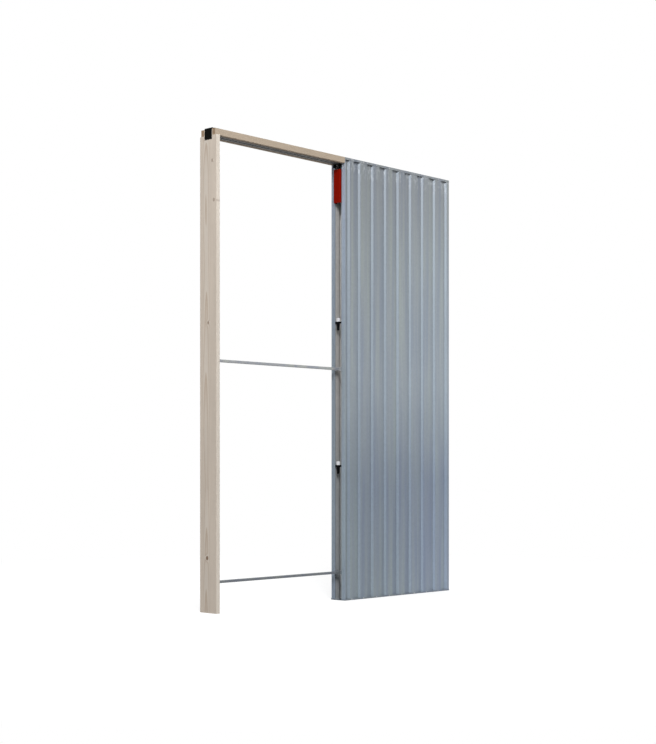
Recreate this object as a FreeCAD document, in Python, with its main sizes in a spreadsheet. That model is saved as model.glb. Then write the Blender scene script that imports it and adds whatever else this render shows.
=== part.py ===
import FreeCAD, Part
import os
import re
import Sketcher

# Pocket door frame, in millimetres: a slatted steel cassette that swallows a sliding leaf,
# the timber closing post on the other side of the doorway, and the header between them.
# X runs along the wall from the post to the far end of the cassette, Y through the wall
# from front to back, and Z up from the finished floor. The origin is on the floor, in the
# middle of the whole frame.

DIMENSIONS = [
    ("overall_height", 2080, "floor to the top of post, header and cassette"),
    ("clear_opening", 805, "inner face of the post to the mouth of the cassette"),
    ("cassette_length", 785, "mouth to the far end"),
    ("wall_depth", 105, "timber depth, which is the finished wall"),
    ("cassette_setback", 8.5, "cassette face behind the timber face, for the plasterboard"),
    ("post_thickness", 20, "closing post along X"),
    ("post_round", 1.5, "eased long edges of the post"),
    ("strip_width", 18, "header strip through the wall"),
    ("strip_height", 28, "header strip, top to underside"),
    ("strip_round", 1, "eased long edges of a header strip"),
    ("clip_thickness", 5, "black bracket over the top of the post"),
    ("clip_side", 3, "black bracket to the header strip on each side"),
    ("clip_drop", 45, "black bracket down the outer face of the post, from its top"),
    ("clip_reach", 34, "black bracket along the top of the track"),
    ("clip_hole", 5, "screw holes of the black bracket"),
    ("clip_round", 1.5, "outer edge of its bend"),
    ("rebate_fit", 0.5, "rebate of the post round the black bracket"),
    ("track_fit", 0.3, "gap on each side of the track"),
    ("track_sink", 3, "top of the track below the top of the frame"),
    ("track_plate", 3, "top plate and lips of the track"),
    ("track_leg", 2.5, "side legs and runner walls of the track"),
    ("track_leg_drop", 20, "side legs below the top plate"),
    ("track_lift", 0.5, "underside of the runner above the underside of the strips"),
    ("runner_width", 35, "outside of the runner"),
    ("runner_slot", 11, "slot for the hanger bolts"),
    ("track_round", 0.5, "outer edges of the track"),
    ("track_end_gap", 2, "end of the track to the rear channel"),
    ("sheet", 1, "galvanised sheet"),
    ("fold_radius", 0.8, "inside of the folds of rails, mouth profiles and rear channel"),
    ("small_fold", 0.5, "inside of the folds of bars, brackets and clips"),
    ("wave_radius", 2, "inside of the bends of a corrugation"),
    ("ridge_width", 45, "outer flat of a corrugation"),
    ("valley_width", 33, "inner flat of a corrugation"),
    ("web_run", 8, "slope of a corrugation, measured along X"),
    ("corrugation_depth", 10, "outer flat to inner flat"),
    ("first_ridge", 25, "outer flat next to the mouth"),
    ("rear_clearance", 4, "rear channel's flange to the slope of the last corrugation"),
    ("edge_tuck", 28, "end of the tucked edge of a panel, from the mouth"),
    ("tuck_gap", 0.3, "tucked edge behind the groove of the mouth profile"),
    ("mouth_flange", 23, "mouth profile across the face of the mouth"),
    ("outer_return", 4, "short lap of the mouth profile on the outside"),
    ("inner_return", 30, "lap of the mouth profile into the slot"),
    ("groove_half", 2.8, "half of the width of the stiffening groove of a mouth profile"),
    ("groove_floor", 1, "half of the width of its flat bottom"),
    ("groove_depth", 2, "depth of that groove"),
    ("top_flange", 11, "top rail down the outside of the panels"),
    ("bottom_flange", 8, "bottom rail up the outside of the panels"),
    ("rear_flange", 12, "rear channel along the inside of the panels"),
    ("seat_radius", 9, "pressed seats of the top rail that hold the track"),
    ("seat_inset", 70, "first pressed seat from the mouth"),
    ("bar_height", 11, "spacer bar, top to underside"),
    ("bar_depth", 20, "spacer bar through the wall"),
    ("bar_gap", 0.3, "end of a spacer bar to its bracket, and round the tongue"),
    ("upper_bar_level", 1088, "middle of the upper spacer bar"),
    ("lower_bar_level", 131, "middle of the lower spacer bar"),
    ("tongue_length", 24, "tongue of a bar bracket inside the bar"),
    ("bracket_plate", 2, "thickness of a bar bracket"),
    ("foot_height", 42, "plate of a bar bracket on the post"),
    ("foot_width", 26, "plate of a bar bracket on the post, through the wall"),
    ("foot_hole", 4.5, "screw holes of that plate"),
    ("foot_corner", 4, "rounded corners of that plate"),
    ("hook_height", 18, "bar bracket in the slot of the mouth"),
    ("hook_length", 20, "its cheeks along the slot"),
    ("slot_fit", 0.3, "gap on each side of what is pushed into the slot"),
    ("clip_front", 10, "red clip in front of the mouth"),
    ("clip_back", 12, "red clip inside the slot"),
    ("clip_wall", 1.5, "wall of the red clip"),
    ("label_height", 157, "red clip, top to bottom"),
    ("label_drop", 54, "top of the red clip under the top of the frame"),
    ("upper_spacer_level", 1311, "top of the upper black spacer"),
    ("lower_spacer_level", 636, "top of the lower black spacer"),
    ("spacer_height", 41, "black spacer, top to point"),
    ("spacer_width", 15, "black spacer at its top"),
    ("spacer_point", 8, "black spacer at its lower end"),
    ("spacer_front", 3, "black spacer in front of the mouth"),
    ("spacer_depth", 8, "black spacer along X"),
    ("spacer_round", 2.5, "lower corners of the black spacer"),
    ("wing_height", 9, "side wings that hold a spacer in the slot"),
    ("wing_thickness", 3.5, "those wings along X"),
    ("wing_inset", 1, "those wings behind the mouth"),
    ("cap_height", 17, "white cap of a spacer"),
    ("cap_width", 15, "white cap of a spacer"),
    ("cap_round", 3, "upper corners of the white cap"),
    ("cap_edge", 1.2, "front edges of the white cap"),
    ("block_height", 16.5, "black block under the track at the mouth"),
    ("block_front", 11, "black block in front of the mouth"),
    ("block_reach", 2, "black block past the edge of the slot, over the mouth profile"),
    ("block_gap", 24, "passage for the hanger bolts between the two blocks"),
    ("block_round", 2, "upright edges of a block"),
]

CELL = {alias: "B%d" % (row + 2) for row, (alias, size, note) in enumerate(DIMENSIONS)}

# Levels and places that follow from the driving dimensions
POST_OUTER = "(-(post_thickness + clear_opening + cassette_length) / 2)"
POST_INNER = "(%s + post_thickness)" % POST_OUTER
MOUTH = "(%s + clear_opening)" % POST_INNER
STRIP_BOTTOM = "(overall_height - strip_height)"
TRACK_TOP = "(overall_height - track_sink)"
TRACK_BOTTOM = "(%s + track_lift)" % STRIP_BOTTOM
RAIL_FACE = "(wall_depth / 2 - cassette_setback)"
TONGUE_HALF = "(%s - strip_width)" % RAIL_FACE
TRACK_HALF = "(%s - track_fit)" % TONGUE_HALF
CLIP_HALF = "(%s - clip_side)" % TONGUE_HALF
PANEL_FACE = "(%s - sheet)" % RAIL_FACE
SLOT_HALF = "(%s - mouth_flange)" % PANEL_FACE
PITCH = "(ridge_width + valley_width + 2 * web_run)"
WAVES_START = "(edge_tuck + web_run + first_ridge)"
LAST_WAVE_LEAST = "(valley_width + 2 * web_run + rear_clearance + rear_flange)"
FULL_WAVES = "floor((cassette_length - %s - %s) / %s)" % (WAVES_START, LAST_WAVE_LEAST, PITCH)
WEB_LENGTH = "sqrt(web_run ^ 2 + corrugation_depth ^ 2)"
BEND_SHIFT = "(sheet * (%s - web_run) / corrugation_depth)" % WEB_LENGTH
GROOVE_RUN = "(groove_half - groove_floor)"
GROOVE_SLOPE = "sqrt(%s ^ 2 + groove_depth ^ 2)" % GROOVE_RUN
GROOVE_SHIFT = "(sheet * (%s - %s) / groove_depth)" % (GROOVE_SLOPE, GROOVE_RUN)
INNER_HEIGHT = "(overall_height - 2 * sheet)"

doc = FreeCAD.newDocument("PocketDoorFrame")


def fill_sheet():
    """The driving dimensions, one row each: name, number with that alias, meaning."""
    sheet = doc.addObject("Spreadsheet::Sheet", "Dimensions")
    for column, title in zip("ABC", ("name", "millimetres", "meaning")):
        sheet.set(column + "1", title)
    for alias, size, note in DIMENSIONS:
        row = CELL[alias][1:]
        sheet.set("A" + row, alias)
        sheet.set("B" + row, str(size))
        sheet.setAlias("B" + row, alias)
        sheet.set("C" + row, note)
    doc.recompute()
    return sheet


table = fill_sheet()


def bound(text):
    """An expression over the sheet, from one written with bare aliases."""
    return re.sub(r"[a-z_]+", lambda word: "Dimensions." + word.group() if word.group() in CELL
                  else word.group(), str(text))


def number(text):
    """The present value of such an expression."""
    return float(table.evalExpression(bound(text)))


def new_body(label, x="0", y="0", z="0"):
    """An empty body whose origin is placed by three expressions."""
    body = doc.addObject("PartDesign::Body", label)
    body.Label = label
    for axis, text in zip("xyz", (x, y, z)):
        body.setExpression("Placement.Base." + axis, bound(text))
    doc.recompute()
    return body


def origin_part(body, role):
    """The origin plane or axis of a body that has the given role."""
    return next(part for part in body.Origin.OriginFeatures if part.Role == role)


def new_sketch(body, plane, lift=None):
    """An empty sketch on an origin plane of its body, lifted along its normal."""
    sketch = body.newObject("Sketcher::SketchObject", body.Label + "_sketch")
    sketch.AttachmentSupport = (origin_part(body, plane), [""])
    sketch.MapMode = "FlatFace"
    if lift is not None:
        sketch.setExpression("AttachmentOffset.Base.z", bound(lift))
    return sketch


def bind_point(sketch, geometry, end, place):
    """Holds one point of a sketch at two expressions, measured from the sketch's origin."""
    for kind, text in zip(("DistanceX", "DistanceY"), place):
        size = number(text)
        index = sketch.addConstraint(Sketcher.Constraint(kind, -1, 1, geometry, end, size))
        sketch.setExpression("Constraints[%d]" % index, bound(text))


def draw_outline(sketch, corners):
    """A closed outline of straight lines through corners given as pairs of expressions."""
    places = [FreeCAD.Vector(number(x), number(y), 0) for x, y in corners]
    first = sketch.GeometryCount
    count = len(corners)
    for index in range(count):
        sketch.addGeometry(Part.LineSegment(places[index], places[(index + 1) % count]))
    for index in range(count):
        following = first + (index + 1) % count
        sketch.addConstraint(Sketcher.Constraint("Coincident", first + index, 2, following, 1))
    for index, corner in enumerate(corners):
        bind_point(sketch, first + index, 1, corner)


def draw_circle(sketch, centre, radius):
    """A circle whose centre and radius are expressions."""
    middle = FreeCAD.Vector(number(centre[0]), number(centre[1]), 0)
    round_hole = sketch.addGeometry(Part.Circle(middle, FreeCAD.Vector(0, 0, 1), number(radius)))
    bind_point(sketch, round_hole, 3, centre)
    index = sketch.addConstraint(Sketcher.Constraint("Radius", round_hole, number(radius)))
    sketch.setExpression("Constraints[%d]" % index, bound(radius))


def box_corners(x_low, y_low, x_high, y_high):
    """The four corners of an upright rectangle."""
    return [(x_low, y_low), (x_high, y_low), (x_high, y_high), (x_low, y_high)]


def mirrored(corners):
    """The same corners on the other side of the sketch's horizontal axis."""
    return [(x, "-(%s)" % y) for x, y in corners]


def pad(body, sketch, length, reverse=False, midplane=False):
    """Adds the sketch's outline to the body over a length."""
    feature = body.newObject("PartDesign::Pad", body.Label + "_pad")
    feature.Profile = sketch
    feature.setExpression("Length", bound(length))
    feature.Reversed = reverse
    feature.Midplane = midplane
    doc.recompute()
    return feature


def cut(body, sketch, length=None, reverse=False):
    """Cuts the sketch's outline out of the body, right through or over a length."""
    before = body.Shape.Volume
    feature = body.newObject("PartDesign::Pocket", body.Label + "_cut")
    feature.Profile = sketch
    if length is None:
        feature.Type = "ThroughAll"
        feature.Midplane = True
    else:
        feature.setExpression("Length", bound(length))
        feature.Reversed = reverse
    doc.recompute()
    assert body.Shape.Volume < before - 0.001, body.Label + ": a pocket cuts nothing"
    return feature


def row_of(body, feature, axis, step, count):
    """Repeats a feature along an origin axis of the body."""
    pattern = body.newObject("PartDesign::LinearPattern", body.Label + "_row")
    pattern.Originals = [feature]
    pattern.Direction = (origin_part(body, axis), [""])
    pattern.setExpression("Occurrences", bound(count))
    pattern.setExpression("Length", bound("%s * (%s - 1)" % (step, count)))
    body.Tip = pattern
    doc.recompute()
    return pattern


def edges_along(body, axis, convex=True, narrowest=0):
    """Names of the body's straight edges along an axis where two flat faces meet in a convex
    or a concave corner, each face wider than narrowest."""
    shape = body.Tip.Shape
    names = []
    for index, edge in enumerate(shape.Edges):
        if abs(getattr(edge.tangentAt(edge.FirstParameter), axis)) < 0.999:
            continue
        first, second = shape.ancestorsOfType(edge, Part.Face)
        if {first.Surface.TypeId, second.Surface.TypeId} != {"Part::GeomPlane"}:
            continue
        turn = first.normalAt(0, 0).dot(second.CenterOfMass - edge.CenterOfMass)
        width = min(first.Area, second.Area) / edge.Length
        if width > narrowest and abs(turn) > 0.01 and (turn < 0) == convex:
            names.append("Edge%d" % (index + 1))
    return names


def round_off(body, names, radius):
    """Rounds the named edges of the body."""
    feature = body.Tip
    fillet = body.newObject("PartDesign::Fillet", body.Label + "_round")
    fillet.Base = (feature, names)
    fillet.setExpression("Radius", bound(radius))
    doc.recompute()
    return fillet


def round_bends(body, axis, thickness, radius):
    """Gives folded sheet its bends: the inside radius, and the outside one round it."""
    narrowest = 1.4 * number(thickness)
    round_off(body, edges_along(body, axis, True, narrowest), "%s + %s" % (radius, thickness))
    round_off(body, edges_along(body, axis, False, narrowest), radius)


# Closing post: a planed board whose top corners are cut back for the header strips, with
# a rebate in its outer face that takes the bracket flush


def make_closing_post():
    body = new_body("closing_post", x=POST_OUTER)
    edge = "wall_depth / 2"
    right = [(TONGUE_HALF, "overall_height"), (TONGUE_HALF, STRIP_BOTTOM), (edge, STRIP_BOTTOM),
             (edge, "0")]
    left = [("-(%s)" % y, z) for y, z in reversed(right)]
    outline = new_sketch(body, "YZ_Plane")
    draw_outline(outline, right + left)
    solid = pad(body, outline, "post_thickness")
    below_strips = number(STRIP_BOTTOM) / 2
    long_edges = [name for name in edges_along(body, "z")
                  if abs(solid.Shape.getElement(name).CenterOfMass.z - below_strips) < 0.01]
    round_off(body, long_edges, "post_round")
    rebate = new_sketch(body, "YZ_Plane")
    half = "(%s + rebate_fit)" % CLIP_HALF
    low = "overall_height - clip_drop - rebate_fit"
    draw_outline(rebate, box_corners("-" + half, low, half, "overall_height"))
    cut(body, rebate, "clip_thickness", reverse=True)


def make_header_strip(label, side):
    """A strip from the outer face of the post to the mouth, in line with the cassette."""
    body = new_body(label, x=POST_OUTER)
    inner = "%s * %s" % (side, TONGUE_HALF)
    outer = "%s * %s" % (side, RAIL_FACE)
    outline = new_sketch(body, "YZ_Plane")
    draw_outline(outline, box_corners(inner, STRIP_BOTTOM, outer, "overall_height"))
    pad(body, outline, "post_thickness + clear_opening")
    round_off(body, edges_along(body, "x"), "strip_round")


# Track: one extrusion with a top plate, two side legs for the screws of the strips,
# and the runner, a C open downwards through the bolt slot


def make_sliding_track():
    body = new_body("sliding_track", x=POST_INNER)
    under_plate = "(%s - track_plate)" % TRACK_TOP
    leg_bottom = "(%s - track_leg_drop)" % under_plate
    lip_top = "(%s + track_plate)" % TRACK_BOTTOM
    leg_inner = "(%s - track_leg)" % TRACK_HALF
    runner = "(runner_width / 2)"
    runner_inner = "(runner_width / 2 - track_leg)"
    slot = "(runner_slot / 2)"
    half = [
        (TRACK_HALF, TRACK_TOP), (TRACK_HALF, leg_bottom), (leg_inner, leg_bottom),
        (leg_inner, under_plate), (runner, under_plate), (runner, TRACK_BOTTOM),
        (slot, TRACK_BOTTOM), (slot, lip_top), (runner_inner, lip_top),
        (runner_inner, under_plate),
    ]
    other_half = [("-(%s)" % y, z) for y, z in reversed(half)]
    outline = new_sketch(body, "YZ_Plane")
    draw_outline(outline, half + other_half)
    pad(body, outline, "clear_opening + cassette_length - sheet - track_end_gap")
    round_off(body, edges_along(body, "x"), "track_round")


# Bracket that hooks the track over the post: down the outer face, over the top, and down
# again onto the track


def make_post_track_bracket():
    body = new_body("post_track_bracket", x=POST_OUTER)
    reach = "(post_thickness + clip_reach)"
    low = "(overall_height - clip_drop)"
    top = "(overall_height + clip_thickness)"
    step = "(post_thickness + clip_thickness)"
    track_side = "(%s + clip_thickness)" % TRACK_TOP
    outline = new_sketch(body, "XZ_Plane")
    draw_outline(outline, [
        ("0", low), ("clip_thickness", low), ("clip_thickness", "overall_height"),
        ("post_thickness", "overall_height"), ("post_thickness", TRACK_TOP), (reach, TRACK_TOP),
        (reach, track_side), (step, track_side), (step, top), ("0", top),
    ])
    solid = pad(body, outline, "2 * " + CLIP_HALF, midplane=True)
    corner = FreeCAD.Vector(0, 0, number(top))
    bend = [name for name in edges_along(body, "y")
            if solid.Shape.getElement(name).CenterOfMass.isEqual(corner, 0.01)]
    round_off(body, bend, "clip_round")
    screws = new_sketch(body, "YZ_Plane")
    for side in ("1", "-1"):
        draw_circle(screws, ("%s * %s / 2" % (side, CLIP_HALF), "overall_height - clip_drop * 3 / 4"),
                    "clip_hole / 2")
    cut(body, screws, "clip_thickness", reverse=True)


# Cassette: rails, panels, mouth profiles and rear channel of folded sheet


def make_rail(label, web_low, web_high, flange_end):
    """A channel along the cassette, with its flanges outside the panels. The ends of the
    panels fill its inner corners, so only the outer ones are rounded."""
    body = new_body(label, x=MOUTH)
    inner = "(%s - sheet)" % RAIL_FACE
    half = [(RAIL_FACE, web_high), (RAIL_FACE, flange_end), (inner, flange_end), (inner, web_low)]
    other_half = [("-(%s)" % y, z) for y, z in reversed(half)]
    outline = new_sketch(body, "YZ_Plane")
    draw_outline(outline, half + other_half)
    pad(body, outline, "cassette_length")
    round_off(body, edges_along(body, "x", True, 1.4 * number("sheet")), "fold_radius")
    return body


def make_top_rail():
    """The top rail also has a row of pressed seats, round cups that rest on the track."""
    web_low = "(overall_height - sheet)"
    body = make_rail("top_rail", web_low, "overall_height", "overall_height - top_flange")
    seat_drop = "(%s - %s)" % (web_low, TRACK_TOP)
    outside = new_sketch(body, "XY_Plane", lift=web_low)
    draw_circle(outside, ("seat_inset", "0"), "seat_radius")
    boss = pad(body, outside, seat_drop, reverse=True)
    step = "((cassette_length - 2 * seat_inset) / 3)"
    row_of(body, boss, "X_Axis", step, "4")
    inside = new_sketch(body, "XY_Plane", lift="overall_height")
    draw_circle(inside, ("seat_inset", "0"), "seat_radius - sheet")
    hollow = cut(body, inside, seat_drop)
    row_of(body, hollow, "X_Axis", step, "4")


def make_panel(label, side):
    """A corrugated panel: tucked edge and first ridge, a row of waves, and the last wave."""
    body = new_body(label, x=MOUTH, z="sheet")
    deep = "corrugation_depth"
    shift = BEND_SHIFT

    def place(corners):
        """Corners measured along X and inwards from the outer face, moved to their side."""
        return [(x, "%s * (%s - (%s))" % (side, PANEL_FACE, inward)) for x, inward in corners]

    start = "(sheet + groove_depth + tuck_gap)"
    lead = new_sketch(body, "XY_Plane")
    draw_outline(lead, place([
        (start, deep), ("edge_tuck", deep), ("edge_tuck + web_run", "0"), (WAVES_START, "0"),
        ("%s - %s" % (WAVES_START, shift), "sheet"),
        ("edge_tuck + web_run + %s" % shift, "sheet"),
        ("edge_tuck + %s" % shift, "%s + sheet" % deep), (start, "%s + sheet" % deep),
    ]))
    pad(body, lead, INNER_HEIGHT)

    valley_start = "(%s + web_run)" % WAVES_START
    valley_end = "(%s + valley_width)" % valley_start
    next_ridge = "(%s + web_run)" % valley_end
    wave_end = "(%s + %s)" % (WAVES_START, PITCH)
    wave = new_sketch(body, "XY_Plane")
    draw_outline(wave, place([
        (WAVES_START, "0"), (valley_start, deep), (valley_end, deep), (next_ridge, "0"),
        (wave_end, "0"), ("%s - %s" % (wave_end, shift), "sheet"),
        ("%s + %s" % (next_ridge, shift), "sheet"),
        ("%s + %s" % (valley_end, shift), "%s + sheet" % deep),
        ("%s - %s" % (valley_start, shift), "%s + sheet" % deep),
        ("%s - %s" % (WAVES_START, shift), "sheet"),
    ]))
    wave_pad = pad(body, wave, INNER_HEIGHT)
    row_of(body, wave_pad, "X_Axis", PITCH, FULL_WAVES)

    passed = "%s * %s" % (FULL_WAVES, PITCH)
    tail = new_sketch(body, "XY_Plane")
    draw_outline(tail, place([
        ("%s + %s" % (WAVES_START, passed), "0"), ("%s + %s" % (valley_start, passed), deep),
        ("%s + %s" % (valley_end, passed), deep), ("%s + %s" % (next_ridge, passed), "0"),
        ("cassette_length", "0"), ("cassette_length", "sheet"),
        ("%s + %s + %s" % (next_ridge, passed, shift), "sheet"),
        ("%s + %s + %s" % (valley_end, passed, shift), "%s + sheet" % deep),
        ("%s + %s - %s" % (valley_start, passed, shift), "%s + sheet" % deep),
        ("%s + %s - %s" % (WAVES_START, passed, shift), "sheet"),
    ]))
    pad(body, tail, INNER_HEIGHT)
    round_bends(body, "z", "sheet", "wave_radius")


def make_mouth_jamb(label, side):
    """A mouth profile: grooved flange across the mouth, with a short lap outside and a
    longer one into the slot, notched at the top where the track enters. The back of the
    groove stops the tucked edge of the panel."""
    body = new_body(label, x=MOUTH, z="sheet")
    middle = "(%s - corrugation_depth - sheet / 2)" % PANEL_FACE
    near = "(%s + groove_half)" % middle
    far = "(%s - groove_half)" % middle
    floor_near = "(%s + groove_floor)" % middle
    floor_far = "(%s - groove_floor)" % middle
    lap = "(%s - sheet)" % PANEL_FACE
    slot_lap = "(%s + sheet)" % SLOT_HALF
    front = [
        ("inner_return", SLOT_HALF), ("0", SLOT_HALF), ("0", far), ("groove_depth", floor_far),
        ("groove_depth", floor_near), ("0", near), ("0", PANEL_FACE), ("outer_return", PANEL_FACE),
    ]
    behind = [
        ("outer_return", lap), ("sheet", lap), ("sheet", "(%s + %s)" % (near, GROOVE_SHIFT)),
        ("groove_depth + sheet", "(%s + %s)" % (floor_near, GROOVE_SHIFT)),
        ("groove_depth + sheet", "(%s - %s)" % (floor_far, GROOVE_SHIFT)),
        ("sheet", "(%s - %s)" % (far, GROOVE_SHIFT)), ("sheet", slot_lap),
        ("inner_return", slot_lap),
    ]
    outline = new_sketch(body, "XY_Plane")
    draw_outline(outline, [(x, "%s * %s" % (side, y)) for x, y in front + behind])
    pad(body, outline, INNER_HEIGHT)
    round_bends(body, "z", "sheet", "fold_radius")
    notch = new_sketch(body, "YZ_Plane")
    draw_outline(notch, box_corners("0", "%s - sheet" % STRIP_BOTTOM,
                                    "%s * %s" % (side, TONGUE_HALF), "overall_height"))
    cut(body, notch)


def make_rear_channel():
    body = new_body("rear_channel", x="%s + cassette_length" % MOUTH, z="sheet")
    outer = "(%s - sheet)" % PANEL_FACE
    inner = "(%s - 2 * sheet)" % PANEL_FACE
    half = [("0", outer), ("-rear_flange", outer), ("-rear_flange", inner), ("-sheet", inner)]
    outline = new_sketch(body, "XY_Plane")
    draw_outline(outline, half + list(reversed(mirrored(half))))
    pad(body, outline, INNER_HEIGHT)
    round_bends(body, "z", "sheet", "fold_radius")


# Spacer bars that hold the opening parallel, with a screwed foot on the post and a
# hook pushed into the slot of the mouth


def make_spacer_bar(label, level):
    """A channel open downwards, between the plates of its two brackets."""
    body = new_body(label, x=POST_INNER, z=level)
    top = "bar_height / 2"
    bottom = "-bar_height / 2"
    half = [("bar_depth / 2", top), ("bar_depth / 2", bottom),
            ("bar_depth / 2 - sheet", bottom), ("bar_depth / 2 - sheet", "%s - sheet" % top)]
    other_half = [("-(%s)" % y, z) for y, z in reversed(half)]
    start = "bracket_plate + bar_gap"
    outline = new_sketch(body, "YZ_Plane", lift=start)
    draw_outline(outline, half + other_half)
    pad(body, outline, "clear_opening - 2 * (%s)" % start)
    round_bends(body, "x", "sheet", "small_fold")


def add_tongue(body, start, reverse):
    """The flat tongue of a bar bracket, close under the web of the bar."""
    half = "(bar_depth / 2 - sheet - bar_gap)"
    top = "(bar_height / 2 - sheet - bar_gap)"
    outline = new_sketch(body, "YZ_Plane", lift=start)
    draw_outline(outline, box_corners("-" + half, "%s - bracket_plate" % top, half, top))
    pad(body, outline, "tongue_length", reverse=reverse)


def make_bar_foot(label, level):
    """A plate with two screw holes, above and below the bar, and its tongue."""
    body = new_body(label, x=POST_INNER, z=level)
    outline = new_sketch(body, "YZ_Plane")
    draw_outline(outline, box_corners("-foot_width / 2", "-foot_height / 2",
                                      "foot_width / 2", "foot_height / 2"))
    pad(body, outline, "bracket_plate")
    round_off(body, edges_along(body, "x"), "foot_corner")
    screws = new_sketch(body, "YZ_Plane")
    for side in ("1", "-1"):
        draw_circle(screws, ("0", "%s * (bar_height + foot_height) / 4" % side), "foot_hole / 2")
    cut(body, screws)
    add_tongue(body, "bracket_plate", reverse=False)


def make_bar_hook(label, level):
    body = new_body(label, x=MOUTH, z=level)
    half = "(%s - slot_fit)" % SLOT_HALF
    inner = "(%s - bracket_plate)" % half
    start = "-bracket_plate"
    side = [(start, half), ("hook_length - bracket_plate", half),
            ("hook_length - bracket_plate", inner), ("0", inner)]
    outline = new_sketch(body, "XY_Plane")
    draw_outline(outline, side + list(reversed(mirrored(side))))
    pad(body, outline, "hook_height", midplane=True)
    round_bends(body, "z", "bracket_plate", "small_fold")
    add_tongue(body, start, reverse=True)


# Pieces pushed into the slot of the mouth: the bare red clip near the top, and two black
# spacers with white caps


def make_red_clip():
    body = new_body("mouth_red_clip", x=MOUTH, z="overall_height - label_drop")
    half = "(%s - slot_fit)" % SLOT_HALF
    inner = "(%s - clip_wall)" % half
    side = [("-clip_front", half), ("clip_back", half), ("clip_back", inner),
            ("clip_wall - clip_front", inner)]
    outline = new_sketch(body, "XY_Plane")
    draw_outline(outline, side + list(reversed(mirrored(side))))
    pad(body, outline, "label_height", reverse=True)
    round_bends(body, "z", "clip_wall", "small_fold")


def make_mouth_spacer(label, level):
    """A wedge that tapers downwards, with wings that reach both sides of the slot."""
    body = new_body(label, x=MOUTH, z=level)
    outline = new_sketch(body, "YZ_Plane", lift="-spacer_front")
    draw_outline(outline, [
        ("-spacer_point / 2", "-spacer_height"), ("spacer_point / 2", "-spacer_height"),
        ("spacer_width / 2", "0"), ("-spacer_width / 2", "0"),
    ])
    solid = pad(body, outline, "spacer_depth")
    low = -number("spacer_height")
    point = [name for name in edges_along(body, "x")
             if abs(solid.Shape.getElement(name).CenterOfMass.z - low) < 0.01]
    round_off(body, point, "spacer_round")
    half = "(%s - slot_fit)" % SLOT_HALF
    wings = new_sketch(body, "YZ_Plane", lift="wing_inset")
    draw_outline(wings, box_corners("-" + half, "-wing_height", half, "0"))
    pad(body, wings, "wing_thickness")


def make_spacer_cap(label, level):
    body = new_body(label, x=MOUTH, z=level)
    outline = new_sketch(body, "YZ_Plane", lift="-spacer_front")
    draw_outline(outline, box_corners("-cap_width / 2", "0", "cap_width / 2", "cap_height"))
    solid = pad(body, outline, "spacer_depth")
    top = number("cap_height")
    upper = [name for name in edges_along(body, "x")
             if abs(solid.Shape.getElement(name).CenterOfMass.z - top) < 0.01]
    rounded = round_off(body, upper, "cap_round")
    face = -number("spacer_front")
    front = ["Edge%d" % (index + 1) for index, edge in enumerate(rounded.Shape.Edges)
             if abs(edge.CenterOfMass.x - face) < 0.01 and edge.CenterOfMass.z > 0.01]
    round_off(body, front, "cap_edge")


def make_mouth_block(label, side):
    """A black block under the track, in front of the mouth, beside the bolt passage."""
    body = new_body(label, x=MOUTH, z=TRACK_BOTTOM)
    inner = "%s * block_gap / 2" % side
    outer = "%s * (%s + block_reach)" % (side, SLOT_HALF)
    outline = new_sketch(body, "XY_Plane")
    draw_outline(outline, box_corners("-block_front", inner, "0", outer))
    pad(body, outline, "block_height", reverse=True)
    width = "(%s + block_reach - block_gap / 2)" % SLOT_HALF
    round_off(body, edges_along(body, "z"), "min(block_round; %s / 3)" % width)


make_closing_post()
make_header_strip("header_strip_front", "-1")
make_header_strip("header_strip_back", "1")
make_sliding_track()
make_post_track_bracket()
make_top_rail()
make_rail("bottom_rail", "sheet", "0", "bottom_flange")
make_panel("front_panel", "-1")
make_panel("back_panel", "1")
make_mouth_jamb("mouth_jamb_front", "-1")
make_mouth_jamb("mouth_jamb_back", "1")
make_rear_channel()
for place, level in (("upper", "upper_bar_level"), ("lower", "lower_bar_level")):
    make_spacer_bar("spacer_bar_" + place, level)
    make_bar_foot("bar_foot_" + place, level)
    make_bar_hook("bar_hook_" + place, level)
make_red_clip()
for place, level in (("upper", "upper_spacer_level"), ("lower", "lower_spacer_level")):
    make_mouth_spacer("mouth_spacer_" + place, level)
    make_spacer_cap("spacer_cap_" + place, level)
make_mouth_block("mouth_block_front", "-1")
make_mouth_block("mouth_block_back", "1")
doc.recompute()

for item in doc.Objects:
    assert not {"Invalid", "Error"} & set(item.State), item.Label + " has failed"

os.makedirs("parts", exist_ok=True)
for body in doc.findObjects("PartDesign::Body"):
    shape = body.Shape
    assert not shape.isNull() and shape.isValid(), body.Label + " has no valid shape"
    assert len(shape.Solids) == 1, body.Label + " isn't one solid"
    shape.exportStep("parts/%s.step" % body.Label)
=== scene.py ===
import math

import bmesh
import bpy
from mathutils import Matrix, Vector


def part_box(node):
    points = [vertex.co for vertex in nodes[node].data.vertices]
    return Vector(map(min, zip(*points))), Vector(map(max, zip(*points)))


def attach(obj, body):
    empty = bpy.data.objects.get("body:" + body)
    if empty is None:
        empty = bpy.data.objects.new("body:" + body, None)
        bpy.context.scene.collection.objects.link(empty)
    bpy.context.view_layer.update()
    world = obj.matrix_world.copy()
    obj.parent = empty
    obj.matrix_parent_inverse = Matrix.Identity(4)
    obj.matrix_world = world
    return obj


# Looks of the pocket door frame: the finishes of its sheet, timber, track and plastic pieces,
# the small fasteners, and the studio. Metres, in the part's frame: X along the wall from the
# closing post to the far end of the cassette, Y through the wall to the back, Z up.

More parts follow.
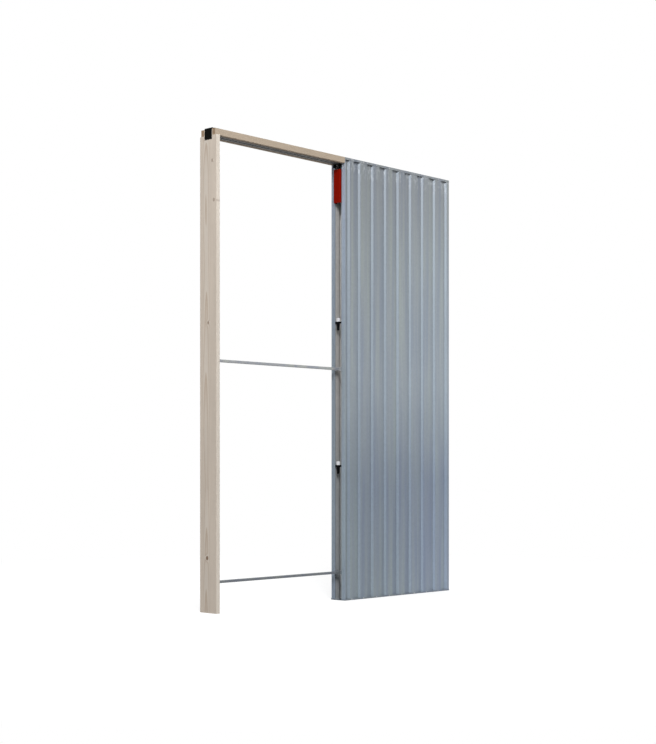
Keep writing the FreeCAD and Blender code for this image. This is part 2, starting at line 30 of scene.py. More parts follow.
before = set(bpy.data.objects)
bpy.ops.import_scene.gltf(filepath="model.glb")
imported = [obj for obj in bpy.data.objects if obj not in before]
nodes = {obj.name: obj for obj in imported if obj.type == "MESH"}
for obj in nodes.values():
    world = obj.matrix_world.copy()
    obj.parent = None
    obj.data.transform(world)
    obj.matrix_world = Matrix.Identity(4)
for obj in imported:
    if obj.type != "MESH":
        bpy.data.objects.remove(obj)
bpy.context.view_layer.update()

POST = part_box("closing_post")
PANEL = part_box("front_panel")
TOP_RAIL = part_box("top_rail")
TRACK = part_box("sliding_track")
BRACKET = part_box("post_track_bracket")
UPPER_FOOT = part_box("bar_foot_upper")
LOWER_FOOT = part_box("bar_foot_lower")
UPPER_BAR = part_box("spacer_bar_upper")
LOWER_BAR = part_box("spacer_bar_lower")

POST_OUTER = POST[0].x
POST_INNER = POST[1].x
MOUTH = TOP_RAIL[0].x
REAR = TOP_RAIL[1].x
HEIGHT = TOP_RAIL[1].z


# Nodes of a material


def empty_tree(owner):
    """The node tree of a material or a world, with nothing in it."""
    owner.use_nodes = True
    owner.node_tree.nodes.clear()
    return owner.node_tree


def add_node(tree, kind, *inputs, **settings):
    """Adds a shader node, and links or sets its inputs in order, passing over None."""
    node = tree.nodes.new("ShaderNode" + kind)
    for name, value in settings.items():
        setattr(node, name, value)
    for socket, value in zip(node.inputs, inputs):
        if isinstance(value, bpy.types.NodeSocket):
            tree.links.new(value, socket)
        elif value is not None:
            socket.default_value = value
    return node


def calc(tree, operation, first, second=None, third=None):
    """A Math node's result."""
    return add_node(tree, "Math", first, second, third, operation=operation).outputs[0]


def spread(tree, factor, least, width):
    """A level that goes from least, a number or a socket, up by width as a factor goes to 1."""
    return calc(tree, "MULTIPLY_ADD", factor, width, least)


def apart(tree, vector):
    """The X, Y and Z of a vector."""
    return add_node(tree, "SeparateXYZ", vector).outputs


def normal_of(tree, kind):
    """The X, Y and Z of the surface's Normal or True Normal."""
    return apart(tree, add_node(tree, "NewGeometry").outputs[kind])


def away_from_axis(tree, across, up):
    """The distance of a point from an axis, from its two offsets."""
    squares = [calc(tree, "POWER", calc(tree, "ABSOLUTE", offset), 2) for offset in (across, up)]
    return calc(tree, "SQRT", calc(tree, "ADD", *squares))


def blend_colour(tree, factor, first, second, blend_type="MIX"):
    """A colour between two, by a factor that is a socket or a number."""
    node = add_node(tree, "Mix", data_type="RGBA", blend_type=blend_type)
    for index, value in ((0, factor), (6, first), (7, second)):
        if isinstance(value, bpy.types.NodeSocket):
            tree.links.new(value, node.inputs[index])
        else:
            node.inputs[index].default_value = value if index == 0 else (*value, 1)
    return node.outputs[2]


def multiplied(tree, colour, gain):
    """A colour times another."""
    return blend_colour(tree, 1.0, colour, gain, "MULTIPLY")


def tint(tree, colour, factor, amount):
    """Lightens and darkens a colour by a factor about 0.5: 1 - amount to 1 + amount."""
    return multiplied(tree, colour, spread(tree, factor, least=1 - amount, width=2 * amount))


def ramp(tree, value, *stops):
    """A colour or grey ramp through stops, each a position and a grey or a colour."""
    node = add_node(tree, "ValToRGB", value)
    elements = node.color_ramp.elements
    while len(elements) < len(stops):
        elements.new(0.5)
    for element, (position, colour) in zip(elements, stops):
        grey = isinstance(colour, (int, float))
        element.position = position
        element.color = (colour, colour, colour, 1) if grey else (*colour, 1)
    return node.outputs[0]


def noise(tree, vector, scale, detail, stretch=(1, 1, 1), roughness=0.5):
    """Noise about 0.5 whose features are one over scale across, in metres, and longer along
    an axis whose stretch is below 1."""
    if stretch != (1, 1, 1):
        mapping = add_node(tree, "Mapping", vector)
        mapping.inputs["Scale"].default_value = stretch
        vector = mapping.outputs[0]
    node = add_node(tree, "TexNoise", vector)
    node.inputs["Scale"].default_value = scale
    node.inputs["Detail"].default_value = detail
    node.inputs["Roughness"].default_value = roughness
    return node.outputs[0]


def bump(tree, height, distance, below=None):
    """A bump of the given height in metres, on top of another one."""
    node = add_node(tree, "Bump")
    node.inputs["Strength"].default_value = 1.0
    node.inputs["Distance"].default_value = distance
    tree.links.new(height, node.inputs["Height"])
    if below is not None:
        tree.links.new(below, node.inputs["Normal"])
    return node.outputs[0]


def new_material(name):
    """A material with one Principled shader, its tree and the object's own coordinates."""
    material = bpy.data.materials.new(name)
    tree = empty_tree(material)
    shader = add_node(tree, "BsdfPrincipled")
    add_node(tree, "OutputMaterial", shader.outputs[0])
    place = add_node(tree, "TexCoord").outputs["Object"]
    return material, tree, shader, place


def finish(tree, shader, colour, roughness, normal, **levels):
    """Links colour, roughness and bump to the shader, and sets its even levels."""
    tree.links.new(colour, shader.inputs["Base Color"])
    tree.links.new(roughness, shader.inputs["Roughness"])
    tree.links.new(normal, shader.inputs["Normal"])
    for name, value in levels.items():
        shader.inputs[name.replace("_", " ")].default_value = value


# Galvanised sheet. Tones go by height, from 0 on the floor to 1 at the top of the cassette. The
# sheet's tones by height are painted shade and painted floor reflection: bluer and darker low,
# darker again near the top

SHEET_PAINTED_SHADE_BY_HEIGHT = (
    (0.02, (0.235, 0.275, 0.315)),
    (0.25, (0.191, 0.227, 0.277)),
    (0.52, (0.267, 0.303, 0.336)),
    (0.78, (0.262, 0.293, 0.316)),
    (0.98, (0.236, 0.257, 0.278)),
)
# Painted light and shade: the two jambs at the mouth are the same sheet, the near one given
# lighter, bluer tones as painted light and the far one darker tones as painted shade
FAR_JAMB_PAINTED_SHADE_TONES = (
    (0.25, (0.220, 0.262, 0.320)),
    (0.52, (0.235, 0.275, 0.310)),
    (0.78, (0.270, 0.312, 0.358)),
    (0.98, (0.264, 0.295, 0.352)),
)
NEAR_JAMB_PAINTED_LIGHT_TONES = (
    (0.25, (0.258, 0.310, 0.372)),
    (0.52, (0.285, 0.328, 0.364)),
    (0.78, (0.325, 0.376, 0.438)),
    (0.98, (0.318, 0.355, 0.430)),
)
# Painted light: lighter, warmer tones for faces inside the cassette and under its top, in place
# of light reaching in there
INSIDE_PAINTED_LIGHT_TONES = (
    (0.18, (0.470, 0.490, 0.505)),
    (0.45, (0.58, 0.57, 0.56)),
    (0.80, (0.62, 0.61, 0.60)),
)
# Painted shade: the two bars are one sheet, the lower one given a darker, bluer tone
BAR_PAINTED_SHADE_BY_HEIGHT = ((0.08, (0.172, 0.186, 0.205)), (0.50, (0.340, 0.352, 0.368)))
# Painted light and shade on the sloped webs: lighter low, darker high
SLOPE_PAINTED_LIGHT_GAIN = ((0.25, (1.02, 1.06, 1.08)), (0.65, (0.84, 0.88, 0.93)))
BAND_GAIN = (
    (0.34, (0.86, 0.89, 0.97)),
    (0.50, (1.0, 1.0, 1.0)),
    (0.66, (1.10, 1.11, 1.02)),
)
# Painted light: lighter towards the far end of the cassette
LENGTH_PAINTED_LIGHT_GAIN = ((0.0, 0.90), (0.35, 0.93), (1.0, 1.05))
# Painted shade: darker along the lowest few millimetres, where the sheet meets the floor
LOW_EDGE_PAINTED_SHADE = ((0.0022, 0.62), (0.0040, 1.0))
STAIN_GAIN = (0.95, 0.96, 1.16)
STAIN_ALONG = ((0.45, 0.0), (0.85, 1.0))
STAIN_UP = ((0.12, 0.42), (0.42, 0.0))
# Lighter patches on upright faces just under the top rail: scuffs, and a painted sheen there too
SCUFF_AND_SHEEN_COLOUR = (0.400, 0.430, 0.460)
SCUFF_AND_SHEEN_PATCHES = ((0.50, 0.0), (0.66, 0.62))
SCUFF_AND_SHEEN_UP = ((0.955, 0.0), (0.985, 1.0))
TONE_DRIFT = 0.12
SLOPED = ((0.10, 0.0), (0.45, 1.0))
UPRIGHT = 0.5
FACING_DOWN = -0.8
PAST_MOUTH_FACE = 0.004
INWARD = -0.008
CEILING_ABOVE = 1.0
CRYSTAL_SCALE = 95.0
ROLLING = 0.012


def painted_light_insides(tree, spot, normal):
    """One on faces that look into the cassette and on undersides of its top, zero elsewhere:
    where the lighter inside tones are painted light.
    """
    inward = calc(tree, "LESS_THAN", calc(tree, "MULTIPLY", spot[1], normal[1]), INWARD)
    past_mouth = calc(tree, "GREATER_THAN", spot[0], MOUTH + PAST_MOUTH_FACE)
    high = calc(tree, "GREATER_THAN", spot[2], CEILING_ABOVE)
    ceiling = calc(tree, "MULTIPLY", calc(tree, "LESS_THAN", normal[2], FACING_DOWN), high)
    return calc(tree, "MAXIMUM", calc(tree, "MULTIPLY", inward, past_mouth), ceiling)


def galvanised(name, rolled_along, tones, inside=False, metallic=0.50, roughness=0.42):
    """Galvanised sheet: tones by height that are painted shade and painted floor reflection, soft
    bands of warmer and colder grey on its flats, painted light and shade on its sloped webs,
    faint crystals, and streaks along the rolling direction. It is lighter towards the far end as
    painted light, stained low at the far end, darker along its lowest edge as painted shade, and
    scuffed near its top with a painted sheen among the scuffs. With inside, what looks into the
    cassette and the undersides of its top take lighter tones, which are painted light."""
    material, tree, shader, place = new_material(name)
    spot = apart(tree, place)
    normal = normal_of(tree, "True Normal")
    height = calc(tree, "DIVIDE", spot[2], HEIGHT)
    along_wall = calc(tree, "DIVIDE", calc(tree, "SUBTRACT", spot[0], MOUTH), REAR - MOUTH)
    cloud = noise(tree, place, scale=2.6, detail=3.0)
    lowest = calc(tree, "SUBTRACT", height, TONE_DRIFT / 2)
    level = spread(tree, cloud, least=lowest, width=TONE_DRIFT)

    # Sloped webs take painted light and shade, lighter low and darker high; flats take the bands
    slope = calc(tree, "MULTIPLY", *(calc(tree, "ABSOLUTE", normal[k]) for k in (0, 1)))
    bands = noise(tree, place, scale=24.0, detail=2.0, stretch=(1, 1, 0.045))
    bands = ramp(tree, bands, *BAND_GAIN)
    gain = blend_colour(tree, ramp(tree, slope, *SLOPED), bands, ramp(tree, level, *SLOPE_PAINTED_LIGHT_GAIN))
    colour = multiplied(tree, ramp(tree, level, *tones), gain)
    # Painted light along the wall, lighter towards the far end
    colour = multiplied(tree, colour, ramp(tree, along_wall, *LENGTH_PAINTED_LIGHT_GAIN))
    stained = calc(tree, "MULTIPLY", ramp(tree, along_wall, *STAIN_ALONG),
                   ramp(tree, level, *STAIN_UP))
    colour = blend_colour(tree, stained, colour, multiplied(tree, colour, STAIN_GAIN))
    # Painted shade along the lowest edge
    colour = multiplied(tree, colour, ramp(tree, height, *LOW_EDGE_PAINTED_SHADE))

    # Scuffs and painted sheen just under the top rail
    scuffs_and_sheen = noise(tree, place, scale=70.0, detail=3.0, stretch=(1, 1, 0.5))
    scuffs_and_sheen = ramp(tree, scuffs_and_sheen, *SCUFF_AND_SHEEN_PATCHES)
    upright = calc(tree, "LESS_THAN", calc(tree, "ABSOLUTE", normal[2]), UPRIGHT)
    scuffs_and_sheen = calc(tree, "MULTIPLY", scuffs_and_sheen, upright)
    scuffs_and_sheen = calc(tree, "MULTIPLY", scuffs_and_sheen, ramp(tree, height, *SCUFF_AND_SHEEN_UP))
    colour = blend_colour(tree, scuffs_and_sheen, colour, SCUFF_AND_SHEEN_COLOUR)
    # Painted light on faces inside the cassette and under its top
    if inside:
        colour = blend_colour(tree, painted_light_insides(tree, spot, normal), colour,
                              ramp(tree, level, *INSIDE_PAINTED_LIGHT_TONES))

    crystals = add_node(tree, "TexVoronoi", place)
    crystals.inputs["Scale"].default_value = CRYSTAL_SCALE
    crystal = add_node(tree, "SeparateColor", crystals.outputs["Color"]).outputs[0]
    rolling = tuple(ROLLING if axis == rolled_along else 1.0 for axis in "xyz")
    streaks = noise(tree, place, scale=260.0, detail=3.0, stretch=rolling, roughness=0.6)
    for factor, amount in ((crystal, 0.045), (streaks, 0.10), (cloud, 0.10)):
        colour = tint(tree, colour, factor, amount)
    dulling = spread(tree, crystal, least=roughness, width=0.08)
    dulling = spread(tree, cloud, least=dulling, width=0.10)
    dents = noise(tree, place, scale=7.0, detail=1.0, stretch=(1, 1, 0.35))
    grains = noise(tree, place, scale=900.0, detail=2.0)
    relief = bump(tree, dents, distance=0.0016)
    relief = bump(tree, streaks, distance=0.00006, below=relief)
    relief = bump(tree, grains, distance=0.00004, below=relief)
    finish(tree, shader, colour, dulling, relief, Metallic=metallic)
    return material


# Pine. Growth rings lie about a pith line beside the board

RING_WIDTH = 0.0034
RING_SHADES = ((0.0, 0.0), (0.55, 0.18), (0.88, 1.0), (0.97, 0.85), (1.0, 0.0))
RING_CONTRAST = 0.75
PITH_SWAY = 0.030
PITH_LEAN = 0.006
KNOT_PUSH = 0.006
KNOT_SQUASH = 0.75
KNOT_CORE = 0.6
KNOT_FULL, KNOT_END = 0.80, 1.05
KNOT_DARK = (0.110, 0.070, 0.045)
KNOT_HEART = (0.230, 0.155, 0.105)
KNOT_SHADES = ((0.10, KNOT_HEART), (0.62, KNOT_HEART), (0.95, KNOT_DARK))
# Painted light: faces square to Y, the front and back of the post and of the strips, are lighter
Y_FACE_PAINTED_LIGHT = (1.05, 1.09, 1.12)
END_GAIN = (0.76, 0.68, 0.60)
SQUARE_ON = 0.8


def facing_along(tree, normal, axis):
    """One on faces square to an axis, zero elsewhere."""
    return calc(tree, "GREATER_THAN", calc(tree, "ABSOLUTE", normal[axis]), SQUARE_ON)


def pine(name, grain, pith, early, late, knots=()):
    """Planed pine as a solid texture: growth rings, fibres along the grain, faces square to Y
    lighter as painted light, darker end grain, and knots that run through the board along X,
    each with its Y and Z, its radius and how dark it is."""
    material, tree, shader, place = new_material(name)
    x, y, z = apart(tree, place)
    across, over, along = {"z": (x, y, z), "x": (y, z, x)}[grain]
    board = add_node(tree, "CombineXYZ", across, over, along).outputs[0]
    drift = noise(tree, board, scale=2.2, detail=1.0, stretch=(1, 1, 0.5))
    sway = spread(tree, drift, least=-PITH_SWAY / 2, width=PITH_SWAY)
    offsets = [calc(tree, "SUBTRACT", calc(tree, "ADD", offset, sway), centre)
               for offset, centre in zip((across, over), pith)]
    span = spread(tree, along, least=away_from_axis(tree, *offsets), width=PITH_LEAN)
    spots = []
    for knot_y, knot_z, radius, darkness in knots:
        aside = calc(tree, "SUBTRACT", y, knot_y)
        above = calc(tree, "MULTIPLY", calc(tree, "SUBTRACT", z, knot_z), KNOT_SQUASH)
        away = calc(tree, "DIVIDE", away_from_axis(tree, aside, above), radius)
        spots.append((away, darkness))
        fading = calc(tree, "ADD", calc(tree, "POWER", away, 3), KNOT_CORE)
        span = calc(tree, "ADD", span, calc(tree, "DIVIDE", KNOT_PUSH, fading))
    phase = calc(tree, "FRACT", calc(tree, "DIVIDE", span, RING_WIDTH))
    rings = ramp(tree, phase, *RING_SHADES)
    fibres = noise(tree, board, scale=900.0, detail=3.0, stretch=(1, 1, 0.012), roughness=0.65)
    patches = noise(tree, board, scale=16.0, detail=2.0, stretch=(1, 1, 0.12))

    colour = blend_colour(tree, calc(tree, "MULTIPLY", rings, RING_CONTRAST), early, late)
    colour = tint(tree, colour, fibres, amount=0.10)
    colour = tint(tree, colour, patches, amount=0.13)
    for away, darkness in spots:
        within = ramp(tree, away, (KNOT_FULL, darkness), (KNOT_END, 0.0))
        colour = blend_colour(tree, within, colour, ramp(tree, away, *KNOT_SHADES))
    normal = normal_of(tree, "Normal")
    # Faces square to Y get painted light; end grain is darker
    for axis, gain in ((1, Y_FACE_PAINTED_LIGHT), ("xyz".index(grain), END_GAIN)):
        colour = blend_colour(tree, facing_along(tree, normal, axis), colour,
                              multiplied(tree, colour, gain))
    relief = bump(tree, rings, distance=0.00008)
    relief = bump(tree, fibres, distance=0.00012, below=relief)
    finish(tree, shader, colour, spread(tree, fibres, least=0.55, width=0.20), relief,
           Specular_IOR_Level=0.25)
    return material


# Track, fasteners, plastic and paint

# Painted shade: the track's grey is much darker than mill-finish aluminium, for the shade under
# the header
TRACK_PAINTED_SHADE_GREY = (0.15, 0.145, 0.14)
ZINC_GREY = (0.42, 0.43, 0.44)
COAT_UNEVENNESS = 0.16


def aluminium(name):
    """Mill-finish extrusion with die lines along X, its grey darkened as painted shade."""
    material, tree, shader, place = new_material(name)
    lines = noise(tree, place, scale=700.0, detail=3.0, stretch=(0.004, 1, 1), roughness=0.6)
    cloud = noise(tree, place, scale=6.0, detail=2.0)
    colour = tint(tree, TRACK_PAINTED_SHADE_GREY, cloud, amount=0.08)
    colour = tint(tree, colour, lines, amount=0.10)
    finish(tree, shader, colour, spread(tree, lines, least=0.50, width=0.16),
           bump(tree, lines, distance=0.00005), Metallic=0.4)
    return material


def zinc(name):
    """Zinc-plated fasteners."""
    material, tree, shader, place = new_material(name)
    cloud = noise(tree, place, scale=260.0, detail=2.0)
    colour = tint(tree, ZINC_GREY, cloud, amount=0.12)
    finish(tree, shader, colour, spread(tree, cloud, least=0.25, width=0.20),
           bump(tree, cloud, distance=0.00004), Metallic=0.9)
    return material


def coated(name, colour, roughness, shine, grain_scale, grain_height, unevenness):
    """Moulded plastic or paint: a fine surface grain, and slight unevenness of tone and gloss."""
    material, tree, shader, place = new_material(name)
    cloud = noise(tree, place, scale=35.0, detail=3.0)
    grain = noise(tree, place, scale=grain_scale, detail=2.0)
    colour = tint(tree, colour, cloud, amount=unevenness)
    colour = tint(tree, colour, grain, amount=unevenness / 2)
    dulling = spread(tree, cloud, least=roughness - COAT_UNEVENNESS / 2, width=COAT_UNEVENNESS)
    finish(tree, shader, colour, dulling, bump(tree, grain, distance=grain_height),
           Specular_IOR_Level=shine)
    return material


POST_KNOTS = (
    (-0.025, 1.943, 0.0064, 0.50),
    (-0.035, 1.773, 0.0066, 0.55),
    (-0.0525, 1.769, 0.0034, 0.35),
    (0.000, 1.248, 0.0060, 0.75),
    (0.007, 0.236, 0.0074, 1.0),
)
POST_PITH = (POST_OUTER - 0.055, 0.012)
POST_EARLY = (0.630, 0.563, 0.490)
POST_LATE = (0.465, 0.365, 0.280)
STRIP_PITH = (-0.100, HEIGHT - 0.090)
STRIP_EARLY = (0.430, 0.345, 0.262)
STRIP_LATE = (0.320, 0.232, 0.158)

sheet_upright = galvanised("galvanised_upright", "z", SHEET_PAINTED_SHADE_BY_HEIGHT, inside=True)
# The near and far jambs are lit and shaded copies of the sheet: painted light and painted shade
sheet_mouth_front_painted_light = galvanised("galvanised_mouth_front_painted_light", "z", NEAR_JAMB_PAINTED_LIGHT_TONES, inside=True)
sheet_mouth_back_painted_shade = galvanised("galvanised_mouth_back_painted_shade", "z", FAR_JAMB_PAINTED_SHADE_TONES, inside=True)
sheet_lengthwise = galvanised("galvanised_lengthwise", "x", SHEET_PAINTED_SHADE_BY_HEIGHT, inside=True,
                              metallic=0.20, roughness=0.56)
# The bars' tones by height are painted shade
sheet_bar = galvanised("galvanised_bar", "x", BAR_PAINTED_SHADE_BY_HEIGHT)
post_pine = pine("pine_post", "z", POST_PITH, POST_EARLY, POST_LATE, knots=POST_KNOTS)
strip_pine = pine("pine_strip", "x", STRIP_PITH, STRIP_EARLY, STRIP_LATE)
track_metal = aluminium("aluminium_extrusion")
plated = zinc("zinc_plated")
black_steel = coated("black_coated_steel", (0.0028, 0.0030, 0.0024), roughness=0.42, shine=0.03,
                     grain_scale=1400.0, grain_height=0.00003, unevenness=0.20)
black_plastic = coated("black_moulding", (0.003, 0.003, 0.0035), roughness=0.60, shine=0.03,
                       grain_scale=1800.0, grain_height=0.00004, unevenness=0.20)
white_plastic = coated("white_moulding", (0.72, 0.73, 0.76), roughness=0.45, shine=0.35,
                       grain_scale=1800.0, grain_height=0.00003, unevenness=0.03)
red_plastic = coated("red_moulding", (0.208, 0.0048, 0.0006), roughness=0.60, shine=0.03,
                     grain_scale=1600.0, grain_height=0.00003, unevenness=0.10)

FINISHES = {
    "closing_post": post_pine,
    "header_strip_front": strip_pine,
    "header_strip_back": strip_pine,
    "sliding_track": track_metal,
    "post_track_bracket": black_steel,
    "top_rail": sheet_lengthwise,
    "bottom_rail": sheet_lengthwise,
    "rear_channel": sheet_upright,
    "front_panel": sheet_upright,
    "back_panel": sheet_upright,
    "mouth_jamb_front": sheet_mouth_front_painted_light,
    "mouth_jamb_back": sheet_mouth_back_painted_shade,
    "mouth_red_clip": red_plastic,
    "mouth_block_front": black_plastic,
    "mouth_block_back": black_plastic,
}
for level in ("upper", "lower"):
    FINISHES["spacer_bar_" + level] = sheet_bar
    FINISHES["bar_foot_" + level] = sheet_bar
    FINISHES["bar_hook_" + level] = sheet_bar
    FINISHES["mouth_spacer_" + level] = black_plastic
    FINISHES["spacer_cap_" + level] = white_plastic

for name, node in nodes.items():
    node.data.materials.clear()
    node.data.materials.append(FINISHES[name])


# Fasteners

SHARPEST_SMOOTH = math.radians(38)
SCREW_SIDES = 20
BUTTON_SIDES = 14
PAN_HEAD = ((1.0, 0.0), (1.0, 0.35), (0.90, 0.72), (0.68, 1.0))
CROSS_TOP = (0.52, 0.11, 1.0)
CROSS_FLOOR = (0.36, 0.07, 0.35)
RIVET = ((0.0030, 0.0), (0.0029, 0.0004), (0.0022, 0.0008), (0.0012, 0.0010))
WELD = ((0.0034, 0.0), (0.0030, 0.00018), (0.0024, 0.00006), (0.0010, 0.00012))

BRACKET_THICKNESS = 0.005
BRACKET_HOLES_DROP = 0.03375
FOOT_PLATE = 0.002
TRACK_LEG = 0.0025
TRACK_SCREWS_DROP = 0.013
TRACK_SCREWS_MARGIN = 0.06
TRACK_SCREWS = 5
FIRST_RIDGE = 0.0485
RIDGES_START = 0.0380
PITCH = 0.094
RIDGES = 8
TOP_RIVETS_DROP = 0.0055
LOW_RIVETS_LEVEL = 0.0045
WELDS_FROM_REAR = 0.0075
WELDS_MARGIN = 0.08
WELDS = 9


def ring_of(shape, radius, height, count):
    """A ring of points about the Z axis."""
    turn = 2 * math.pi / count
    return [shape.verts.new((radius * math.cos(turn * k), radius * math.sin(turn * k), height))
            for k in range(count)]


def bridge(shape, lower, upper):
    """The band of faces between two rings of as many points."""
    count = len(lower)
    for k in range(count):
        after = (k + 1) % count
        shape.faces.new((lower[k], lower[after], upper[after], upper[k]))


def turned(profile, count):
    """A shape turned about Z from a profile of radii and heights, closed underneath and open
    at its top, and the ring of its top."""
    shape = bmesh.new()
    rings = [ring_of(shape, radius, height, count) for radius, height in profile]
    shape.faces.new(reversed(rings[0]))
    for lower, upper in zip(rings, rings[1:]):
        bridge(shape, lower, upper)
    return shape, rings[-1]


def button(profile):
    """A low turned shape, closed all round."""
    shape, top = turned(profile, BUTTON_SIDES)
    shape.faces.new(top)
    return shape


def cross_outline(shape, reach, half, height):
    """The twelve corners of a cross."""
    quarter = [(half, -half), (reach, -half), (reach, half)]
    corners = []
    for turn in range(4):
        swing = Matrix.Rotation(turn * math.pi / 2, 3, "Z")
        corners += [shape.verts.new(swing @ Vector((x, y, height))) for x, y in quarter]
    return corners


def screw_head(radius, height):
    """A pan head with a cross recess, standing on the XY plane."""
    profile = [(share * radius, rise * height) for share, rise in PAN_HEAD]
    shape, top = turned(profile, SCREW_SIDES)
    rim, floor = (cross_outline(shape, reach * radius, half * radius, rise * height)
                  for reach, half, rise in (CROSS_TOP, CROSS_FLOOR))
    bridge(shape, floor, rim)
    shape.faces.new(floor)
    loops = [shape.edges.get((ring[k], ring[k - 1])) for ring in (top, rim)
             for k in range(len(ring))]
    bmesh.ops.triangle_fill(shape, use_beauty=True, edges=loops)
    bmesh.ops.recalc_face_normals(shape, faces=shape.faces)
    return shape


def copies(name, shape, places, material):
    """One piece made of copies of a shape, each at its own matrix, that rides on the frame."""
    whole = bmesh.new()
    single = bpy.data.meshes.new(name + "_single")
    shape.to_mesh(single)
    shape.free()
    for place in places:
        first = len(whole.verts)
        whole.from_mesh(single)
        whole.verts.ensure_lookup_table()
        bmesh.ops.transform(whole, matrix=place, verts=whole.verts[first:])
    for edge in whole.edges:
        edge.smooth = edge.calc_face_angle(0.0) < SHARPEST_SMOOTH
    for face in whole.faces:
        face.smooth = True
    mesh = bpy.data.meshes.new(name)
    whole.to_mesh(mesh)
    whole.free()
    bpy.data.meshes.remove(single)
    mesh.materials.append(material)
    piece = bpy.data.objects.new(name, mesh)
    bpy.context.scene.collection.objects.link(piece)
    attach(piece, "root")


def facing(direction, x, y, z):
    """A matrix that stands a shape at a point with its Z axis along a direction."""
    turn = Vector(direction).to_track_quat("Z", "Y").to_matrix().to_4x4()
    return Matrix.Translation((x, y, z)) @ turn


def evenly(first, last, count):
    """Places at equal steps, both ends among them."""
    return [first + (last - first) / (count - 1) * k for k in range(count)]


def bracket_screws():
    """Two screws in the holes of the black bracket, against the post behind it."""
    spread = (BRACKET[1].y - BRACKET[0].y) / 4
    level = HEIGHT - BRACKET_HOLES_DROP
    places = [facing((-1, 0, 0), POST_OUTER + BRACKET_THICKNESS, side * spread, level)
              for side in (-1, 1)]
    copies("bracket_screws", screw_head(0.0024, 0.0040), places, black_steel)


def foot_screws():
    """Screws above and below each spacer bar, on the plate of its foot."""
    plate = POST_INNER + FOOT_PLATE
    places = []
    for foot, bar in ((UPPER_FOOT, UPPER_BAR), (LOWER_FOOT, LOWER_BAR)):
        middle = (foot[0].z + foot[1].z) / 2
        away = (foot[1].z - foot[0].z + bar[1].z - bar[0].z) / 4
        places += [facing((1, 0, 0), plate, 0, middle + side * away) for side in (-1, 1)]
    copies("foot_screws", screw_head(0.0040, 0.0024), places, plated)


def track_screws():
    """Screws from inside the legs of the track into the header strips."""
    leg = TRACK[1].y - TRACK_LEG
    level = TRACK[1].z - TRACK_SCREWS_DROP
    steps = evenly(POST_INNER + TRACK_SCREWS_MARGIN, MOUTH - TRACK_SCREWS_MARGIN, TRACK_SCREWS)
    places = [facing((0, -side, 0), x, side * leg, level) for side in (-1, 1) for x in steps]
    copies("track_screws", screw_head(0.0036, 0.0020), places, plated)


def rail_rivets():
    """A rivet through the flange of each rail at each ridge of each panel. The first ridge is
    narrower, so its middle is off the pitch of the others."""
    ridges = [FIRST_RIDGE] + [RIDGES_START + PITCH * k for k in range(1, RIDGES)]
    levels = (HEIGHT - TOP_RIVETS_DROP, LOW_RIVETS_LEVEL)
    face = TOP_RAIL[1].y
    places = [facing((0, side, 0), MOUTH + ridge, side * face, level)
              for side in (-1, 1) for level in levels for ridge in ridges]
    copies("rail_rivets", button(RIVET), places, plated)


def rear_welds():
    """Spot welds of the panels' last ridge on the rear channel."""
    face = -PANEL[0].y
    places = [facing((0, side, 0), REAR - WELDS_FROM_REAR, side * face, level)
              for side in (-1, 1) for level in evenly(WELDS_MARGIN, HEIGHT - WELDS_MARGIN, WELDS)]
    copies("rear_welds", button(WELD), places, sheet_upright)


bracket_screws()
foot_screws()
track_screws()
rail_rivets()
rear_welds()


# Studio: white floor and background, soft lights, camera

FLOOR_SIZE = 60
FLOOR_GLOW = 0.66
FLOOR_SHADE = 0.42
FLOOR_BOUNCE = 0.30
FLOOR_FADE = ((0.30, 0.0), (0.85, 1.0))
FADE_REACH = 4.0
WORLD_LIGHT = 0.40
WHITE = (1, 1, 1, 1)
FOCUS = (0.1, 0.0, 1.0)
LIGHTS = (
    ("key", (-4.3, -4.8, 5.5), 2.6, 530),
    ("front", (-6.0, -6.2, 1.6), 3.0, 20),
    ("fill", (5.4, -3.8, 1.9), 2.4, 30),
    ("back", (1.5, 6.5, 4.5), 3.0, 220),
)


def seen_directly(tree):
    """One where a camera, glossy or transmission ray looks, zero elsewhere."""
    path = add_node(tree, "LightPath").outputs
    sight = calc(tree, "MAXIMUM", path["Is Camera Ray"], path["Is Glossy Ray"])
    return calc(tree, "MAXIMUM", sight, path["Is Transmission Ray"])


def diffuse(tree, grey):
    """A matt grey surface."""
    return add_node(tree, "BsdfDiffuse", (grey, grey, grey, 1)).outputs[0]


def emission(tree, strength):
    """A white glow."""
    return add_node(tree, "Emission", WHITE, strength).outputs[0]


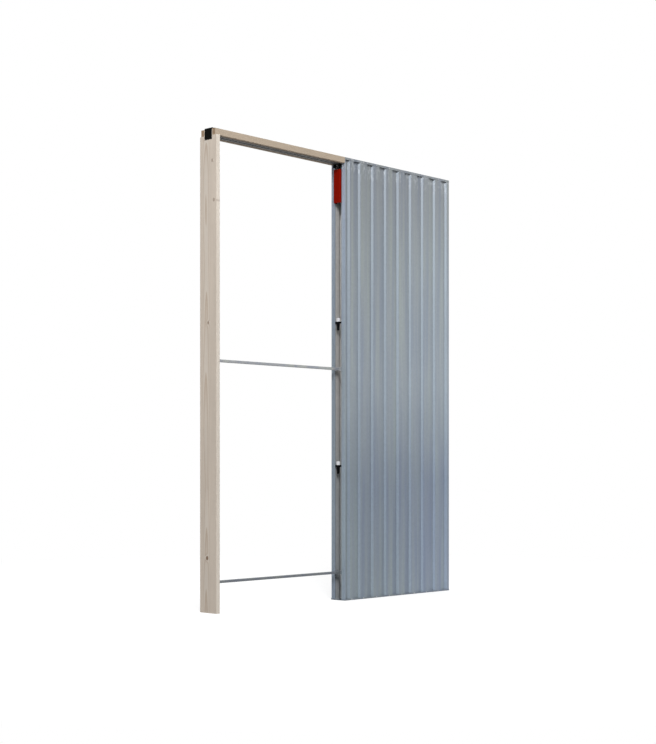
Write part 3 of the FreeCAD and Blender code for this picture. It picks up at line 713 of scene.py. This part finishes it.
def make_floor():
    """A white floor that takes the soft shadow near the object and is plain white further off."""
    bpy.ops.mesh.primitive_plane_add(size=FLOOR_SIZE)
    floor = bpy.context.object
    floor.name = "studio_floor"
    material = bpy.data.materials.new("studio_floor")
    tree = empty_tree(material)
    near = add_node(tree, "AddShader", diffuse(tree, FLOOR_SHADE), emission(tree, FLOOR_GLOW))
    place = add_node(tree, "TexCoord").outputs["Object"]
    reach = add_node(tree, "VectorMath", place, operation="LENGTH").outputs["Value"]
    fade = ramp(tree, calc(tree, "DIVIDE", reach, FADE_REACH), *FLOOR_FADE)
    shown = add_node(tree, "MixShader", fade, near.outputs[0], emission(tree, 1.0))
    mixed = add_node(tree, "MixShader", seen_directly(tree), diffuse(tree, FLOOR_BOUNCE),
                     shown.outputs[0])
    add_node(tree, "OutputMaterial", mixed.outputs[0])
    floor.data.materials.append(material)


def make_world():
    """A white background, and an even light from all round at a lower level."""
    world = bpy.data.worlds.new("studio")
    bpy.context.scene.world = world
    tree = empty_tree(world)
    light, white = (add_node(tree, "Background", WHITE, strength).outputs[0]
                    for strength in (WORLD_LIGHT, 1.0))
    mixed = add_node(tree, "MixShader", seen_directly(tree), light, white)
    add_node(tree, "OutputWorld", mixed.outputs[0])


def soft_light(name, place, size, watts):
    """A round lamp that faces the object and isn't seen."""
    light = bpy.data.lights.new(name, "AREA")
    light.shape = "DISK"
    light.size = size
    light.energy = watts
    lamp = bpy.data.objects.new(name, light)
    lamp.location = place
    lamp.rotation_euler = (Vector(FOCUS) - Vector(place)).to_track_quat("-Z", "Y").to_euler()
    lamp.visible_camera = False
    bpy.context.scene.collection.objects.link(lamp)


make_floor()
make_world()
for settings in LIGHTS:
    soft_light(*settings)

# The camera as it was fitted to the photograph: its focal length and its horizon, below the
# middle of the picture, in pixels
IMAGE_HEIGHT = 744
FOCAL_PIXELS = 1473.78
HORIZON_DROP = 92.27
SENSOR = 36.0
CAMERA_PLACE = (-5.0890, -4.6938, 0.6397)
CAMERA_HEADING = -0.8209

lens = bpy.data.cameras.new("camera")
lens.sensor_width = SENSOR
lens.lens = FOCAL_PIXELS * SENSOR / IMAGE_HEIGHT
lens.shift_y = HORIZON_DROP / IMAGE_HEIGHT
camera = bpy.data.objects.new("camera", lens)
camera.location = CAMERA_PLACE
camera.rotation_euler = (math.pi / 2, 0, CAMERA_HEADING)
bpy.context.scene.collection.objects.link(camera)
bpy.context.scene.camera = camera

bpy.context.scene.view_settings.view_transform = "Standard"
